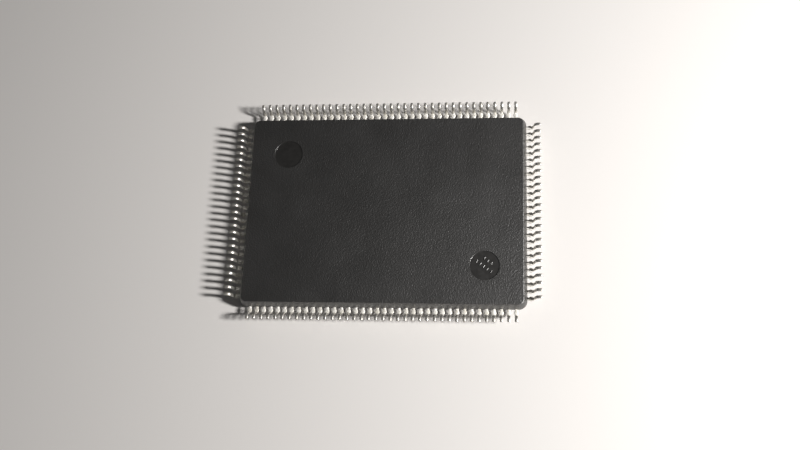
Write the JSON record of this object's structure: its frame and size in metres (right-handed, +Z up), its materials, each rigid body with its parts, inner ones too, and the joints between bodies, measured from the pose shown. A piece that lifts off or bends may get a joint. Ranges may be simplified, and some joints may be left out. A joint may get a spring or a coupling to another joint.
{
  "type": "quad flat pack chip",
  "caption": "Thin rectangular surface-mount chip lying on its marked face, blank underside up, with fine gull-wing leads on all four sides.",
  "frame": {"origin": "middle of the bounding box, at the marked face that the chip lies on", "axes": "+Z up out of the blank underside, +X along the long side, +Y along the short side"},
  "size_m": [0.022, 0.016, 0.0015],
  "materials": {
    "mould_compound": "matt black epoxy with a fine spark-eroded grain",
    "lead_plating": "bright tin plating",
    "leadframe_copper": "bare copper alloy strip",
    "bond_wire": "drawn gold wire",
    "silicon": "polished silicon",
    "die_adhesive": "cured silver-filled adhesive"
  },
  "bodies": {
    "root": {"bond_wires_001_038": "bond_wire", "bond_wires_039_064": "bond_wire", "bond_wires_065_102": "bond_wire", "bond_wires_103_128": "bond_wire", "die_adhesive": "die_adhesive", "die_pad": "leadframe_copper", "leads_001_004": "lead_plating", "leads_005_008": "lead_plating", "leads_009_012": "lead_plating", "leads_013_016": "lead_plating", "leads_017_020": "lead_plating", "leads_021_024": "lead_plating", "leads_025_028": "lead_plating", "leads_029_032": "lead_plating", "leads_033_036": "lead_plating", "leads_037_038": "lead_plating", "leads_039_042": "lead_plating", "leads_043_046": "lead_plating", "leads_047_050": "lead_plating", "leads_051_054": "lead_plating", "leads_055_058": "lead_plating", "leads_059_062": "lead_plating", "leads_063_064": "lead_plating", "leads_065_068": "lead_plating", "leads_069_072": "lead_plating", "leads_073_076": "lead_plating", "leads_077_080": "lead_plating", "leads_081_084": "lead_plating", "leads_085_088": "lead_plating", "leads_089_092": "lead_plating", "leads_093_096": "lead_plating", "leads_097_100": "lead_plating", "leads_101_102": "lead_plating", "leads_103_106": "lead_plating", "leads_107_110": "lead_plating", "leads_111_114": "lead_plating", "leads_115_118": "lead_plating", "leads_119_122": "lead_plating", "leads_123_126": "lead_plating", "leads_127_128": "lead_plating", "moulded_body": "mould_compound", "silicon_die": "silicon"}
  },
  "joints": []
}
